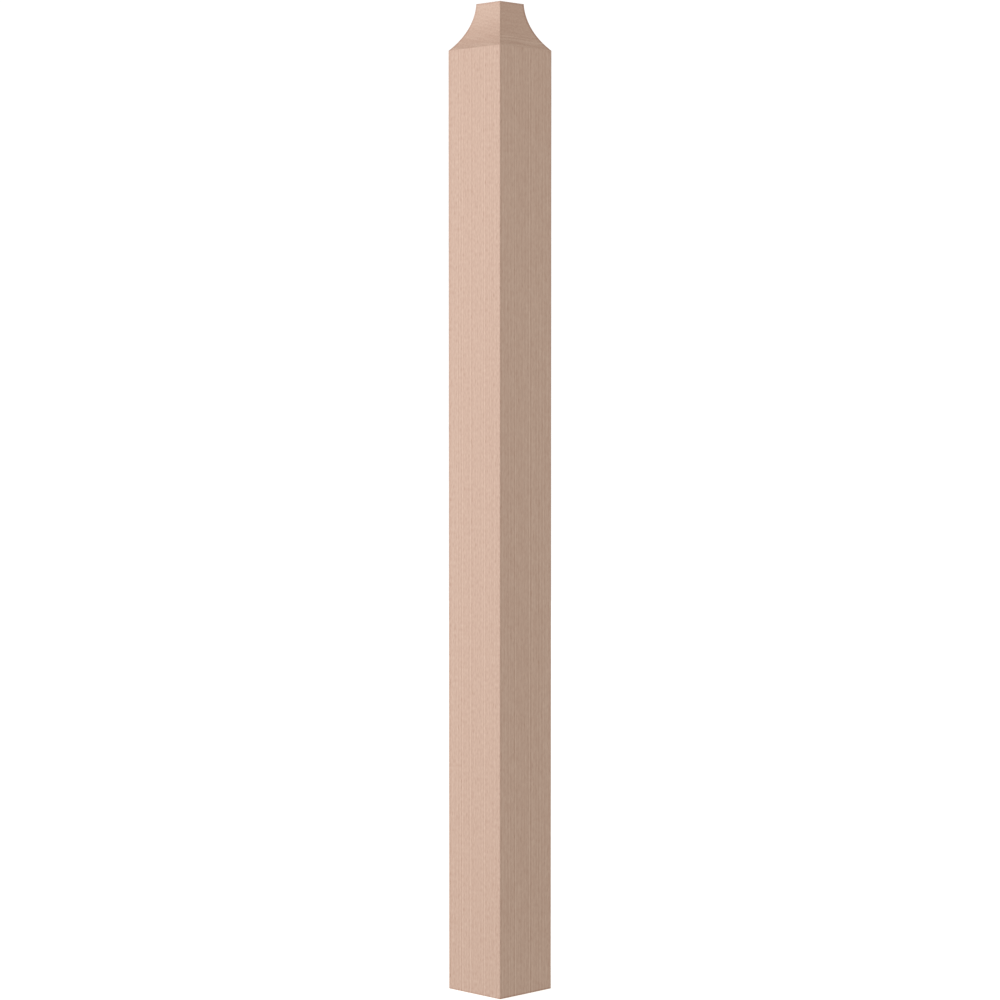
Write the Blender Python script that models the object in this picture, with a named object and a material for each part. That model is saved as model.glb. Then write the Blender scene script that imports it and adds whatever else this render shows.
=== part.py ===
# Newel post: one plain square post of bare wood, cut square at the foot. At the top a hollow scoop
# runs in from each face. The scoops meet at mitred hips and leave a small flat square.
# Metres, +Z up, with the origin at the middle of the foot.

from math import atan2, cos, radians, sin, sqrt

import bmesh
import bpy

# Driving dimensions, in metres
SIDE = 0.08255  # width across two opposite faces of the shaft
HEIGHT = 1.1218  # from the foot to the flat top
TOP_FLAT = 0.0382  # width of the small flat square
SCOOP_HEIGHT = 0.0525  # from the arris where a scoop starts to the flat top
SCOOP_RADIUS = 0.0826  # radius of the hollow in each face
ARRIS_EASE = 0.0005  # how far each sharp edge is eased back

# Fineness of the curved surfaces
SCOOP_FACETS = 40
ARRIS_SEGMENTS = 2
SHARP_ANGLE = radians(30)

# Bare, unfinished beech: colour in linear light, dull surface
WOOD_COLOUR = (0.60, 0.41, 0.32, 1.0)
WOOD_ROUGHNESS = 0.62

# Corner directions of a square section, counter-clockwise seen from above
CORNERS = ((1, 1), (-1, 1), (-1, -1), (1, -1))


def clear_scene():
    for old in list(bpy.data.objects):
        bpy.data.objects.remove(old)


def wood():
    material = bpy.data.materials.new("beech")
    material.use_nodes = True
    shader = material.node_tree.nodes["Principled BSDF"]
    shader.inputs["Base Color"].default_value = WOOD_COLOUR
    shader.inputs["Roughness"].default_value = WOOD_ROUGHNESS
    shader.inputs["Metallic"].default_value = 0.0
    return material


# The scoop's section is an arc through the edge of the flat top and the arris on the shaft's face.
# Each point is the half width of the post there and its height above the foot, foot end first.
def scoop_profile():
    top_width, top_height = TOP_FLAT / 2, HEIGHT
    start_width, start_height = SIDE / 2, HEIGHT - SCOOP_HEIGHT
    run = start_width - top_width
    rise = top_height - start_height
    chord = sqrt(run**2 + rise**2)
    middle_to_centre = sqrt(SCOOP_RADIUS**2 - (chord / 2) ** 2)
    centre_width = (top_width + start_width) / 2 + middle_to_centre * rise / chord
    centre_height = (top_height + start_height) / 2 + middle_to_centre * run / chord
    start_angle = atan2(centre_height - start_height, centre_width - start_width)
    top_angle = atan2(centre_height - top_height, centre_width - top_width)
    turn = (top_angle - start_angle) / SCOOP_FACETS
    angles = [start_angle + turn * step for step in range(SCOOP_FACETS + 1)]
    return [
        (centre_width - SCOOP_RADIUS * cos(angle), centre_height - SCOOP_RADIUS * sin(angle))
        for angle in angles
    ]


def square_section(mesh, half_width, height):
    return [mesh.verts.new((half_width * x, half_width * y, height)) for x, y in CORNERS]


# Square sections skinned from the foot to the flat top, with the hips as the corners' path
def post_mesh():
    mesh = bmesh.new()
    profile = [(SIDE / 2, 0.0)] + scoop_profile()
    sections = [square_section(mesh, half_width, height) for half_width, height in profile]
    for lower, upper in zip(sections, sections[1:]):
        for corner in range(len(CORNERS)):
            mesh.faces.new((lower[corner - 1], lower[corner], upper[corner], upper[corner - 1]))
    mesh.faces.new(reversed(sections[0]))
    mesh.faces.new(sections[-1])
    data = bpy.data.meshes.new("newel_post")
    mesh.to_mesh(data)
    mesh.free()
    data.shade_smooth()
    data.set_sharp_from_angle(angle=SHARP_ANGLE)
    return data


def ease_arrises(post):
    bevel = post.modifiers.new("eased arrises", "BEVEL")
    bevel.width = ARRIS_EASE
    bevel.segments = ARRIS_SEGMENTS
    bevel.limit_method = "ANGLE"
    bevel.angle_limit = SHARP_ANGLE
    bevel.harden_normals = True


def newel_post():
    post = bpy.data.objects.new("newel_post", post_mesh())
    post.data.materials.append(wood())
    bpy.context.scene.collection.objects.link(post)
    ease_arrises(post)
    return post


clear_scene()
newel_post()
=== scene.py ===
from math import atan2, cos, pi, radians, sin, sqrt

import bpy
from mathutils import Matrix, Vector, noise


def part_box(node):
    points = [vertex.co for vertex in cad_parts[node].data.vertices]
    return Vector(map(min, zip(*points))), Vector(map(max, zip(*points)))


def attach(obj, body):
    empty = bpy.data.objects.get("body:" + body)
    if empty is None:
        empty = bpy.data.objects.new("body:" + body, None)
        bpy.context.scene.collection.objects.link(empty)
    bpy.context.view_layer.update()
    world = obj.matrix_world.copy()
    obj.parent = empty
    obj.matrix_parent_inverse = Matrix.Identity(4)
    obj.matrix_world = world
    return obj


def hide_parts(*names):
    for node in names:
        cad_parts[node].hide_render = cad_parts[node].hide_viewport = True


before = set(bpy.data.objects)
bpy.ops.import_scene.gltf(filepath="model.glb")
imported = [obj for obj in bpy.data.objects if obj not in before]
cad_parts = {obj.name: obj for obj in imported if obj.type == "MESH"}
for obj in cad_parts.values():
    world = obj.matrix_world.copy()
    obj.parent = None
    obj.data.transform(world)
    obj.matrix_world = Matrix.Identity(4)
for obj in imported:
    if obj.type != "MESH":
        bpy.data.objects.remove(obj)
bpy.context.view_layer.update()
postLow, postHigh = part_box("newel_post")
side = postHigh.x - postLow.x
height = postHigh.z - postLow.z
halfSide = side / 2
print(f"frame: post {side * 1000:.2f} mm square and {height * 1000:.1f} mm tall")


# Timber mesh. The scoops' sizes repeat the solid's, the rest is how the joiner left the edges.
post = {
    "topFlat": 0.0382,  # width of the small flat square
    "scoopHeight": 0.0525,  # from the arris where a scoop starts to the flat top
    "scoopRadius": 0.0826,
    "arrisRadius": 0.0004,  # roundness of the sanded arrises
    "arrisWander": 0.35,  # how much that varies along an arris, as a share
    "wanderLength": 0.045,  # between softer and crisper stretches
    "wanderStart": 0.5, "wanderApart": 7.3,  # places in the noise, so that no two arrises are alike
    "arrisSteps": 4,  # facets round an arris
    "landWidth": 0.0012,  # strip beside an arris, so that the flats shade flat
    "faceColumns": 6,
    "shaftRowStep": 0.006,
    "scoopRowStep": 0.0009,
}
topHalf = post["topFlat"] / 2
scoopStart = height - post["scoopHeight"]

# the four sides, counter-clockwise from the one that faces -Y: outward and along
sides = [(Vector((0, -1)), Vector((1, 0))), (Vector((1, 0)), Vector((0, 1))),
         (Vector((0, 1)), Vector((-1, 0))), (Vector((-1, 0)), Vector((0, -1)))]


def scoopArc():
    # the hollow as points of half width and height, from the shaft's arris to the flat top
    run, rise = halfSide - topHalf, post["scoopHeight"]
    chord = sqrt(run**2 + rise**2)
    reach = sqrt(post["scoopRadius"] ** 2 - (chord / 2) ** 2)
    centre = Vector((halfSide - run / 2 + reach * rise / chord,
                     scoopStart + rise / 2 + reach * run / chord))
    startAngle = atan2(centre.y - scoopStart, centre.x - halfSide)
    endAngle = atan2(centre.y - height, centre.x - topHalf)
    rows = round(post["scoopRadius"] * (startAngle - endAngle) / post["scoopRowStep"])
    angles = [startAngle + (endAngle - startAngle) * row / rows for row in range(rows + 1)]
    return [centre - post["scoopRadius"] * Vector((cos(angle), sin(angle))) for angle in angles]


def roundedCorner(before, corner, after):
    # the small arc that an eased arris puts in place of an outline's corner
    toBefore = (before - corner).normalized()
    toAfter = (after - corner).normalized()
    halfOpening = toBefore.angle(toAfter) / 2
    radius = post["arrisRadius"]
    setBack = radius * cos(halfOpening) / sin(halfOpening)
    centre = corner + (toBefore + toAfter).normalized() * radius / sin(halfOpening)
    first = corner + toBefore * setBack - centre
    last = corner + toAfter * setBack - centre
    turn = first.angle(last)
    shares = [step / post["arrisSteps"] for step in range(post["arrisSteps"] + 1)]
    return [centre + (first * sin((1 - share) * turn) + last * sin(share * turn)) / sin(turn)
            for share in shares]


def postOutline():
    # (half width, height) of each section from the foot to the flat top, and the scoop's first row
    land = post["landWidth"]
    inset = post["arrisRadius"] + land
    scoop = scoopArc()
    foot, start, top = Vector((halfSide, 0)), scoop[0], scoop[-1]
    rows = [Vector((halfSide - inset, 0))] + roundedCorner(Vector((0, 0)), foot, start)
    shaftRows = round(scoopStart / post["shaftRowStep"])
    for row in range(shaftRows + 1):
        rows.append(Vector((halfSide, land + (scoopStart - 2 * land) * row / shaftRows)))
    scoopRow = len(rows) + post["arrisSteps"] // 2
    rows += roundedCorner(foot, start, scoop[1]) + scoop[1:-1]
    rows += roundedCorner(scoop[-2], top, Vector((0, height))) + [Vector((topHalf - inset, height))]
    return rows, scoopRow


def arrisRadius(corner, level):
    # sanded by hand, so the roundness wanders along each arris
    place = Vector((corner * post["wanderApart"], post["wanderStart"], level / post["wanderLength"]))
    return post["arrisRadius"] * (1 + post["arrisWander"] * noise.noise(place))


def section(half, level):
    # one rounded square, counter-clockwise: each side's first arris, then its flat
    points = []
    land, columns = post["landWidth"], post["faceColumns"]
    for number, (outward, along) in enumerate(sides):
        radius = arrisRadius(number, level)
        nextRadius = arrisRadius((number + 1) % len(sides), level)
        corner = (outward - along) * half
        centre = corner + (along - outward) * radius
        for step in range(post["arrisSteps"] + 1):
            turn = pi / 2 * step / post["arrisSteps"]
            points.append(centre + (outward * sin(turn) - along * cos(turn)) * radius)
        flat = 2 * half - radius - nextRadius - 2 * land
        for column in range(columns + 1):
            points.append(corner + along * (radius + land + flat * column / columns))
    return [(point.x, point.y, level) for point in points]


# Bake map: four narrow strips, one a side, that use the map's full width across the grain
bakeMap = {
    "margin": 0.008,
    "shaftTop": 0.80,  # each strip: shaft from the bottom of the map up to here
    "scoopFrom": 0.815,
    "scoopTo": 0.905,
    "endFrom": 0.92,  # the foot and the flat top lie above the scoops
    "endFill": 0.9,  # how much of its strip's width the foot takes up
}


def sharesAlong(line):
    # how far along a line of points each of them lies, from 0 to 1
    lengths = [0.0]
    for before, after in zip(line, line[1:]):
        lengths.append(lengths[-1] + (after - before).length)
    return [length / lengths[-1] for length in lengths]


def sidePlace(number, share, rowShare, inScoop):
    margin = bakeMap["margin"]
    across = (number + margin + share * (1 - 2 * margin)) / len(sides)
    if inScoop:
        return across, bakeMap["scoopFrom"] + (bakeMap["scoopTo"] - bakeMap["scoopFrom"]) * rowShare
    return across, margin + (bakeMap["shaftTop"] - margin) * rowShare


def endPlace(number, x, y):
    across = (number + 0.5 + x / side * bakeMap["endFill"]) / len(sides)
    tall = 1 - bakeMap["margin"] - bakeMap["endFrom"]
    return across, bakeMap["endFrom"] + tall * (y / side + 0.5)


def makePost():
    rows, scoopRow = postOutline()
    rings = [section(half, level) for half, level in rows]
    around = len(rings[0])
    perSide = around // len(sides)
    shaftShares = sharesAlong(rows[:scoopRow + 1])
    scoopShares = sharesAlong(rows[scoopRow:])

    points = [point for ring in rings for point in ring]
    faces, places = [], []
    for row, ring in enumerate(rings[:-1]):
        inScoop = row >= scoopRow
        low, high = scoopShares[row - scoopRow:][:2] if inScoop else shaftShares[row:][:2]
        lower, upper = row * around, (row + 1) * around
        for number in range(len(sides)):
            # shares across the strip follow the real widths, arris first
            first = number * perSide
            shares = sharesAlong([Vector(ring[(first + at) % around]) for at in range(perSide + 1)])
            for at in range(perSide):
                here = first + at
                there = (here + 1) % around
                faces.append((lower + here, lower + there, upper + there, upper + here))
                left, right = shares[at:at + 2]
                for share, rowShare in ((left, low), (right, low), (right, high), (left, high)):
                    places.append(sidePlace(number, share, rowShare, inScoop))
    last = (len(rings) - 1) * around
    for number, end in enumerate((range(around - 1, -1, -1), range(last, last + around))):
        faces.append(tuple(end))
        places += [endPlace(number, points[at][0], points[at][1]) for at in end]

    mesh = bpy.data.meshes.new("beechPost")
    mesh.from_pydata(points, [], faces)
    layer = mesh.uv_layers.new(name="OFBake")
    for corner, place in zip(layer.data, places):
        corner.uv = place
    mesh.shade_smooth()
    mesh.update()
    made = bpy.data.objects.new("beechPost", mesh)
    bpy.context.scene.collection.objects.link(made)
    print(f"post: {len(mesh.polygons)} faces")
    return made


# Shader tools
class Reading:
    # a number socket that takes part in Python sums
    def __init__(self, finish, socket):
        self.finish = finish
        self.socket = socket

    def __add__(self, other):
        return self.finish.sum("ADD", self, other)

    __radd__ = __add__

    def __sub__(self, other):
        return self.finish.sum("SUBTRACT", self, other)

    def __rsub__(self, other):
        return self.finish.sum("SUBTRACT", other, self)

    def __mul__(self, other):
        return self.finish.sum("MULTIPLY", self, other)

    __rmul__ = __mul__

    def __truediv__(self, other):
        return self.finish.sum("DIVIDE", self, other)

    def __abs__(self):
        return self.finish.sum("ABSOLUTE", self)


class Finish:
    # one material and the readings that make it
    def __init__(self, name):
        self.material = bpy.data.materials.new(name)
        self.material.use_nodes = True
        self.tree = self.material.node_tree
        self.tree.nodes.clear()

    def node(self, kind, settings=None, inputs=None, output=0):
        made = self.tree.nodes.new(kind)
        for name, value in (settings or {}).items():
            setattr(made, name, value)
        for name, value in (inputs or {}).items():
            if isinstance(value, Reading):
                self.tree.links.new(value.socket, made.inputs[name])
            else:
                made.inputs[name].default_value = value
        if output == "all":
            return [Reading(self, socket) for socket in made.outputs]
        return Reading(self, made.outputs[output])

    def sum(self, operation, *values):
        return self.node("ShaderNodeMath", {"operation": operation}, dict(enumerate(values)))

    def ramp(self, value, low, high):
        # 0 below low, 1 above high, smooth between; high may be the smaller
        if low > high:
            return 1 - self.ramp(value, high, low)
        return self.node("ShaderNodeMapRange", {"interpolation_type": "SMOOTHSTEP"},
                         {"Value": value, "From Min": low, "From Max": high})

    def blend(self, share, low, high):
        # one reading gives way to another
        return low + (high - low) * share

    def colours(self, share, low, high):
        return self.node("ShaderNodeMix", {"data_type": "RGBA"}, {0: share, 6: low, 7: high}, 2)

    def point(self, x, y, z):
        return self.node("ShaderNodeCombineXYZ", None, {0: x, 1: y, 2: z})

    def cloud(self, place, detail):
        # noise centred on 0, with features about 1 long
        found = self.node("ShaderNodeTexNoise", None, {"Vector": place, "Scale": 1.0, "Detail": detail})
        return found - 0.5

    def shade(self, **inputs):
        shader = self.node("ShaderNodeBsdfPrincipled", None,
                           {name.replace("_", " "): value for name, value in inputs.items()})
        self.node("ShaderNodeOutputMaterial", None, {"Surface": shader}, "all")
        return self.material


# Bare beech. Lengths are metres, tones are shares of the wood's own brightness.
beech = {
    "colour": (0.60, 0.416, 0.349),
    "range": 0.30,  # how far the darkest and palest wood lie from that
    "warmth": (0.87, 1.28, 1.42),  # dark wood loses more green and blue than red
    "roughness": 0.62, "sheen": 0.3,  # bare wood mirrors less than a finished surface
    "threadRoughness": 0.10, "fleckRoughness": -0.08, "endRoughness": 0.15,
    # thin layers that run the whole length, each a share across a side and a strength, dark below 0
    "layersX": ((0.170, 0.25), (0.190, -0.25), (0.222, 0.60), (0.249, -0.32), (0.272, 0.22),
                (0.426, 0.50), (0.681, -0.28), (0.701, 0.48), (0.823, 0.35)),
    "layersY": ((0.149, -0.30), (0.184, 0.32), (0.303, 1.0), (0.573, 0.72), (0.592, -0.55),
                (0.630, 0.45), (0.749, -0.60), (0.791, 0.36), (0.850, 0.35), (0.928, 0.20)),
    "layerWidth": 0.0014, "layerTone": 0.27, "besideTone": -0.09,
    "layerFade": (0.75, 0.25), "besideFade": (1.7, 1.1),  # where they fade, in layer widths
    # yearly rings round a pith far outside the post: lines on the sides, rings on the ends
    "pith": (-0.28, -0.32), "ringStep": 0.0034, "ringLineTone": 0.025,  # the pith's x and y
    "bendWidth": 0.014, "bendLength": 6.0, "bend": 3.0,  # how far the rings stray, in ring steps
    # fibres hold their place from end to end, threads and mottle break up
    "fibreWidth": 0.0015, "fibreLength": 5.0, "fibreTone": 0.045,
    "threadWidth": 0.0013, "threadLength": 0.017,
    "mottleWidth": 0.0017, "mottleLength": 0.0042,
    "threadTone": (0.117, 0.144), "mottleTone": (0.24, 0.1728),  # on the sides that face Y and X
    # small dark flecks, where rays of the wood are cut
    "fleckWidth": 0.0026, "fleckLength": 0.0095, "fleckTone": 0.11, "fleckShare": 0.30,
    "fleckFade": (0.42, 0.12),  # where one fades, in its own widths
    "driftWidth": 0.03, "driftLength": 0.45, "driftTone": 0.04,
    "poreWidth": 0.00035, "poreLength": 0.0028, "poreTone": 0.05,
    # scoops: level layers, tilted a little on the sides that face Y
    "scoopTilt": 0.23,
    "waveWidth": 0.03, "waveLength": 0.02, "waveRise": 0.0018,
    "scoopLineWidth": 0.034, "scoopLineLength": 0.0027,
    "scoopLineTone": (0.063, 0.238),  # at the top and foot
    "scoopMottleWidth": 0.0023, "scoopMottleLength": 0.0018,
    "scoopMottleTone": (0.2375, 0.2625),  # at the top and foot
    "scoopStrength": (1.0, 0.92),  # of both, on the sides that face Y and X
    "scoopPale": (0.0078, 0.0114),  # pale layers on the sides that face X, above the scoop's foot
    "scoopPaleTone": 0.09, "scoopPaleFade": (0.0009, 0.0002),  # how far off they fade
    # painted shade in the scoops: darker on the sides that face X, and on the sides that face Y lighter
    # at the top and darker at the foot
    "scoopPaintedShadeY": (-0.038, 0.034), "scoopPaintedShadeX": (0.048, 0.056),  # at the top and foot
    "scoopShadeFrom": 0.32, "scoopShadeTo": 0.72,  # where that changes, as shares of the way down
    # painted shade along the edges: two of the long ones darker than the others
    "sideArrisWidth": 0.0032, "sideArrisPaintedShade": 0.08,
    "hipWidth": 0.0038, "hipPaintedShadeY": (0.05, 0.17), "hipPaintedShadeX": (0.15, 0.28),  # at the top and foot
    "frontArrisFrom": (0.0007, 0.0014), "frontArrisTo": (0.0032, 0.00256),  # a strip beside the edge
    "frontArrisPaintedShade": (0.09, 0.045),  # on the shaft and in the scoops
    "endArrisWidth": 0.0024,
    "topArrisPaintedShade": (0.10, 0.08), "footArrisPaintedShade": (0.07, 0.18),  # on the sides that face Y and X
    "fullShadeShare": 0.6,  # the share of an edge's width before the painted shade fades
    # end grain
    "endTone": -0.16,
    "ringTone": 0.11, "lateWood": (0.55, 0.95), "ringEnd": (1.0, 0.96),  # shares of a ring's width
    "rayCount": 240, "rayLength": 0.01, "rayTone": 0.16,  # rays in each radian round the pith
    "endPoreSize": 0.0004, "endPoreTone": 0.10,
    "bump": 0.25, "bumpDepth": 0.0003, "poreBump": 1.5, "fleckBump": -0.5,
    # where shaft, scoops and end grain meet: metres of height, and how far the surface faces up or down
    "scoopBlend": 0.0001, "endFaces": (0.80, 0.95),
    # where each reading of the noise starts, so that no two are alike
    "fibreStart": 0.0, "bendStart": 2.0, "waveStart": 4.0, "endPoreStart": 5.0, "rayStart": 7.0,
    "scoopMottleStart": 8.0, "xSideStart": 9.0, "driftStart": 12.0, "mottleStart": 17.3,
    "scoopLineStart": 19.2, "threadStart": 31.7, "poreStart": 50.0,
}


def beechFinish():
    finish = Finish("bareBeech")
    where = finish.node("ShaderNodeTexCoord", None, None, "Object")
    x, y, z = finish.node("ShaderNodeSeparateXYZ", None, {0: where}, "all")
    normal = finish.node("ShaderNodeNewGeometry", None, None, "Normal")
    normalZ = finish.node("ShaderNodeSeparateXYZ", None, {0: normal}, "Z")

    sizeX, sizeY = abs(x), abs(y)
    onXSide = finish.sum("GREATER_THAN", sizeX, sizeY)  # 1 on the sides that face +X and -X
    across = finish.blend(onXSide, x, y)
    scooped = finish.ramp(z, scoopStart - beech["scoopBlend"], scoopStart + beech["scoopBlend"])
    endGrain = finish.ramp(abs(normalZ), *beech["endFaces"])
    downScoop = finish.ramp(z, height, scoopStart)

    def sized(name):
        return [beech[name + part] for part in ("Width", "Length", "Start")]

    def grain(name, detail=0.0):
        # noise right through the timber
        wide, long, start = sized(name)
        return finish.cloud(finish.point(x / wide + start, y / wide + start, z / long), detail)

    def sideNoise(name, level):
        # noise laid on each of the four sides
        wide, tall, start = sized(name)
        depth = onXSide * beech["xSideStart"] + start
        return finish.cloud(finish.point(across / wide + start, level / tall, depth), 0.0)

    # rings round the pith
    pithX, pithY = beech["pith"]
    fromPithX, fromPithY = x - pithX, y - pithY
    radius = finish.sum("SQRT", fromPithX * fromPithX + fromPithY * fromPithY)
    ring = radius / beech["ringStep"] + grain("bend") * beech["bend"]

    # shaft: fibres, threads, mottle and thin layers, all along the timber
    fibre = grain("fibre", 1.0)
    thread = grain("thread")
    mottle = grain("mottle")
    layerTone = 0.0
    for reading, onThese, layers in ((x, 1 - onXSide, beech["layersX"]), (y, onXSide, beech["layersY"])):
        tone = 0.0
        for share, strength in layers:
            away = abs(reading - (share - 0.5) * side) / beech["layerWidth"]
            tone = tone + finish.ramp(away, *beech["layerFade"]) * (beech["layerTone"] * strength)
            tone = tone + finish.ramp(away, *beech["besideFade"]) * (beech["besideTone"] * strength)
        layerTone = layerTone + tone * onThese
    ringLine = finish.sum("SINE", ring * (2 * pi))
    shaftTone = fibre * beech["fibreTone"] + ringLine * beech["ringLineTone"] + layerTone
    shaftTone = shaftTone + thread * finish.blend(onXSide, *beech["threadTone"])
    shaftTone = shaftTone + mottle * finish.blend(onXSide, *beech["mottleTone"])

    # short dark flecks: in some of the cells, and narrower than a cell
    wide, long = beech["fleckWidth"], beech["fleckLength"]
    cell = finish.point(x / wide, y / wide, z / long)
    away, lot = finish.node("ShaderNodeTexVoronoi", None, {"Vector": cell, "Scale": 1.0}, "all")[:2]
    lot = finish.node("ShaderNodeSeparateColor", None, {0: lot})
    fleck = finish.ramp(away, *beech["fleckFade"]) * finish.sum("LESS_THAN", lot, beech["fleckShare"])

    # scoops: the layers are cut across and show as fine level lines that wave a little
    level = z + across * beech["scoopTilt"] * (1 - onXSide) + sideNoise("wave", z) * beech["waveRise"]
    line = sideNoise("scoopLine", level) * finish.blend(downScoop, *beech["scoopLineTone"])
    scoopMottle = sideNoise("scoopMottle", level) * finish.blend(downScoop, *beech["scoopMottleTone"])
    scoopGrainAndShade = (line + scoopMottle) * finish.blend(onXSide, *beech["scoopStrength"])
    for above in beech["scoopPale"]:
        palePair = finish.ramp(abs(level - scoopStart - above), *beech["scoopPaleFade"]) * onXSide
        scoopGrainAndShade = scoopGrainAndShade + palePair * beech["scoopPaleTone"]
    # painted light and shade down the scoops, by side, taken off the grain tone
    shadeFrom, shadeTo = [height - post["scoopHeight"] * beech[name]
                          for name in ("scoopShadeFrom", "scoopShadeTo")]
    deeper = finish.ramp(z, shadeFrom, shadeTo)
    paintedShades = [finish.blend(deeper, *beech[name]) for name in ("scoopPaintedShadeY", "scoopPaintedShadeX")]
    scoopGrainAndShade = scoopGrainAndShade - finish.blend(onXSide, *paintedShades)

    # foot and flat top: the rings cut square, crossed by rays
    within = finish.sum("FRACT", ring)
    lateWood = finish.ramp(within, *beech["lateWood"]) * finish.ramp(within, *beech["ringEnd"])
    turn = finish.sum("ARCTAN2", fromPithY, fromPithX)
    place = finish.point(turn * beech["rayCount"], radius / beech["rayLength"], beech["rayStart"])
    ray = finish.cloud(place, 1.0)
    size = beech["endPoreSize"]
    pores = finish.cloud(finish.point(x / size, y / size, beech["endPoreStart"]), 1.0)
    endTone = ray * beech["rayTone"] + pores * beech["endPoreTone"] + beech["endTone"]
    endTone = endTone - lateWood * beech["ringTone"]

    # edges: painted shade along them
    # painted shade on the two long edges where x and y share a sign, and on their hips
    onSideArris = finish.sum("GREATER_THAN", x * y, 0.0)
    fromArris = abs(sizeX - sizeY)
    width = finish.blend(scooped, beech["sideArrisWidth"], beech["hipWidth"])
    hipShades = [finish.blend(downScoop, *beech[name]) for name in ("hipPaintedShadeY", "hipPaintedShadeX")]
    tint = finish.blend(scooped, beech["sideArrisPaintedShade"], finish.blend(onXSide, *hipShades))
    sideEdgeShade = finish.ramp(fromArris / width, 1.0, beech["fullShadeShare"]) * tint * onSideArris
    # painted shade: a dark strip just off the other two long edges, on the sides that face X
    frontEdgeShade = finish.ramp(fromArris, *beech["frontArrisTo"])
    frontEdgeShade = frontEdgeShade * finish.ramp(fromArris, *beech["frontArrisFrom"])
    tint = finish.blend(scooped, *beech["frontArrisPaintedShade"])
    frontEdgeShade = frontEdgeShade * tint * onXSide * (1 - onSideArris)
    # painted shade along the top and foot edges, stronger on the sides that face X
    width = beech["endArrisWidth"]
    endEdgeShade = 0.0
    for fromEnd, name in ((height - z, "topArrisPaintedShade"), (z, "footArrisPaintedShade")):
        tint = finish.blend(onXSide, *beech[name])
        endEdgeShade = endEdgeShade + finish.ramp(fromEnd, width, width * beech["fullShadeShare"]) * tint
    edgePaintedShade = finish.sum("MAXIMUM", sideEdgeShade + frontEdgeShade, endEdgeShade)

    drift = grain("drift", 1.0)
    pore = grain("pore")
    alongTone = finish.blend(scooped, shaftTone - fleck * beech["fleckTone"], scoopGrainAndShade)
    alongTone = alongTone + pore * beech["poreTone"] - edgePaintedShade
    tone = finish.blend(endGrain, alongTone, endTone) + drift * beech["driftTone"]

    share = tone / (2 * beech["range"]) + 0.5
    falls = [beech["range"] * part for part in beech["warmth"]]
    dark = [part * (1 - fall) for part, fall in zip(beech["colour"], falls)] + [1.0]
    light = [part * (1 + fall) for part, fall in zip(beech["colour"], falls)] + [1.0]
    colour = finish.colours(share, dark, light)

    alongRelief = thread + pore * beech["poreBump"] + fleck * beech["fleckBump"]
    relief = finish.blend(endGrain, alongRelief, pores + ray)
    bump = finish.node("ShaderNodeBump", None, {
        "Strength": beech["bump"], "Distance": beech["bumpDepth"], "Height": relief})
    roughness = thread * beech["threadRoughness"] + fleck * beech["fleckRoughness"]
    roughness = roughness + endGrain * beech["endRoughness"] + beech["roughness"]
    return finish.shade(Base_Color=colour, Roughness=roughness, Specular_IOR_Level=beech["sheen"],
                        Normal=bump)


beechPost = makePost()
beechPost.data.materials.append(beechFinish())
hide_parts("newel_post")
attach(beechPost, "root")
print("beech: grain, flecks and end grain set")


# Camera: on the post's diagonal, a little above mid height, looking slightly down
camera = {
    "turn": 45.0,  # degrees round from -Y towards +X
    "distance": 3.2009,  # from the post's axis
    "height": 0.6831,
    "tiltDown": 2.195,
    "lens": 101.26, "sensor": 36.0,
}


def makeCamera():
    data = bpy.data.cameras.new("camera")
    data.lens, data.sensor_width = camera["lens"], camera["sensor"]
    made = bpy.data.objects.new("camera", data)
    turn = radians(camera["turn"])
    made.location = (camera["distance"] * sin(turn), -camera["distance"] * cos(turn), camera["height"])
    made.rotation_euler = (radians(90 - camera["tiltDown"]), 0, turn)
    bpy.context.scene.collection.objects.link(made)
    bpy.context.scene.camera = made


# Studio: a broad key light on the left, a weak one on the right, soft light all round, a white floor
studio = {
    # each light: degrees round from -Y towards +X, distance, height, height aimed at, size, watts
    "keyLight": (-25.0, 2.8, 0.95, 0.95, 1.0, 46.4),
    "fillLight": (95.0, 2.2, 0.90, 0.90, 1.0, 5.76),
    "softLight": 0.602,  # light from all round on the post
    "softTint": (1.0, 1.0, 0.885),
    "softRise": 0.03,  # how much more of it comes from above than from the side
    "whiteBehind": 1.06,
    "floorRadius": 6.0, "floorSides": 96, "floorGlow": 0.65, "floorColour": 0.9, "floorRoughness": 0.9,
}
white = (1.0, 1.0, 1.0, 1.0)


def makeLight(name):
    turn, distance, level, aimLevel, size, power = studio[name]
    data = bpy.data.lights.new(name, "AREA")
    data.shape, data.size, data.energy = "DISK", size, power
    made = bpy.data.objects.new(name, data)
    turn = radians(turn)
    made.location = (distance * sin(turn), -distance * cos(turn), level)
    aim = Vector((0, 0, aimLevel)) - made.location
    made.rotation_euler = aim.to_track_quat("-Z", "Y").to_euler()
    made.visible_camera = False
    bpy.context.scene.collection.objects.link(made)


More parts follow.
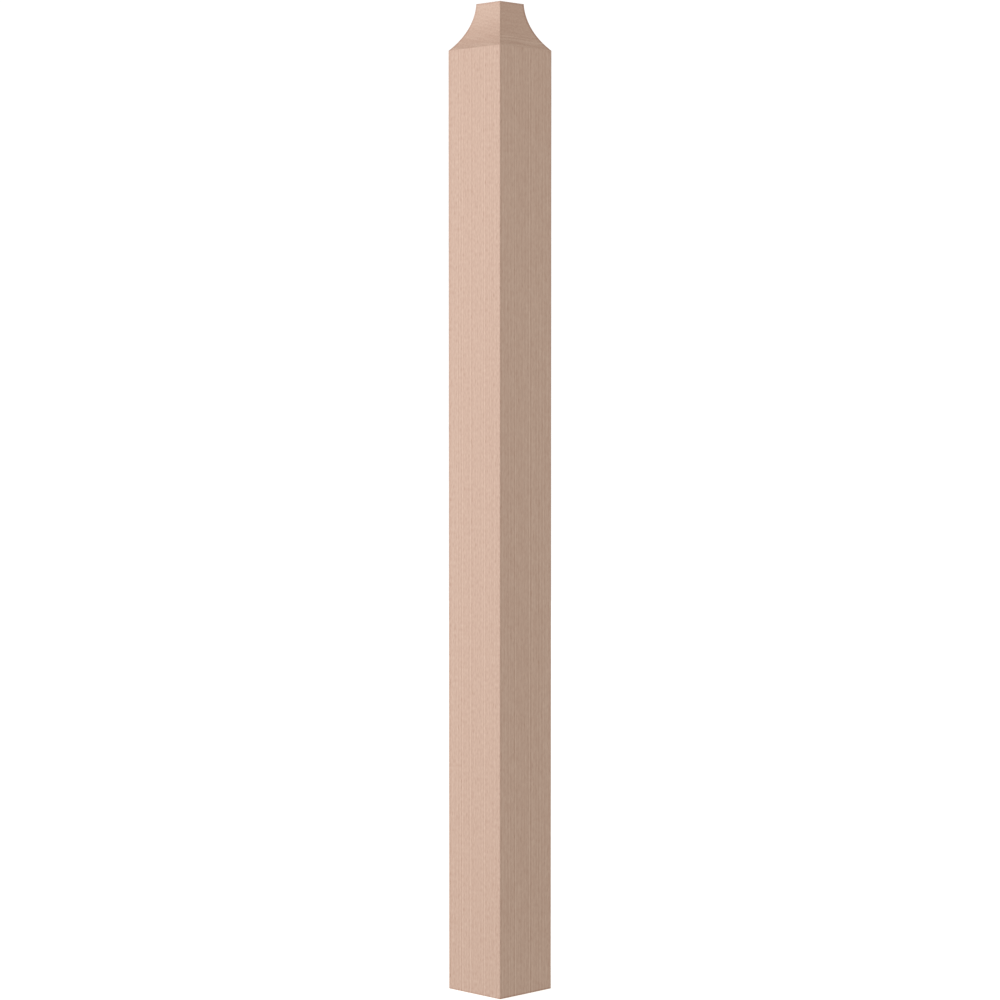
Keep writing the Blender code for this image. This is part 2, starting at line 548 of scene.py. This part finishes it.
def makeWorld():
    # white where the camera looks, soft light on the post that grows a little with height
    world = bpy.data.worlds.new("whiteStudio")
    bpy.context.scene.world = world
    world.use_nodes = True
    nodes, links = world.node_tree.nodes, world.node_tree.links
    nodes.clear()
    seen, mix = nodes.new("ShaderNodeLightPath"), nodes.new("ShaderNodeMixShader")
    direction, parts = nodes.new("ShaderNodeTexCoord"), nodes.new("ShaderNodeSeparateXYZ")
    rise, out = nodes.new("ShaderNodeMath"), nodes.new("ShaderNodeOutputWorld")
    soft, behind = nodes.new("ShaderNodeBackground"), nodes.new("ShaderNodeBackground")
    rise.operation = "MULTIPLY_ADD"
    rise.inputs[1].default_value = studio["softLight"] * studio["softRise"]
    rise.inputs[2].default_value = studio["softLight"]
    soft.inputs["Color"].default_value = studio["softTint"] + (1.0,)
    behind.inputs["Color"].default_value = white
    behind.inputs["Strength"].default_value = studio["whiteBehind"]
    links.new(direction.outputs["Generated"], parts.inputs[0])
    links.new(parts.outputs["Z"], rise.inputs[0])
    links.new(rise.outputs[0], soft.inputs["Strength"])
    links.new(seen.outputs["Is Camera Ray"], mix.inputs[0])
    links.new(soft.outputs[0], mix.inputs[1])
    links.new(behind.outputs[0], mix.inputs[2])
    links.new(mix.outputs[0], out.inputs["Surface"])


def makeFloor():
    count, radius = studio["floorSides"], studio["floorRadius"]
    turns = [2 * pi * at / count for at in range(count)]
    mesh = bpy.data.meshes.new("floor")
    mesh.from_pydata([(radius * cos(t), radius * sin(t), 0) for t in turns], [], [tuple(range(count))])
    floor = bpy.data.objects.new("floor", mesh)
    bpy.context.scene.collection.objects.link(floor)
    finish = Finish("floorWhite")
    tint = (studio["floorColour"],) * 3 + (1.0,)
    fromBelow = finish.node("ShaderNodeNewGeometry", None, None, "Backfacing")
    floor.data.materials.append(finish.shade(
        Base_Color=tint, Roughness=studio["floorRoughness"], Emission_Color=white,
        Emission_Strength=studio["floorGlow"], Alpha=1 - fromBelow))
    floor.visible_diffuse = floor.visible_glossy = False  # it lights nothing: the light stays even


makeCamera()
makeLight("keyLight")
makeLight("fillLight")
makeWorld()
makeFloor()
bpy.context.scene.view_settings.view_transform = "Standard"
print("studio: camera, two lights, soft light and floor set")
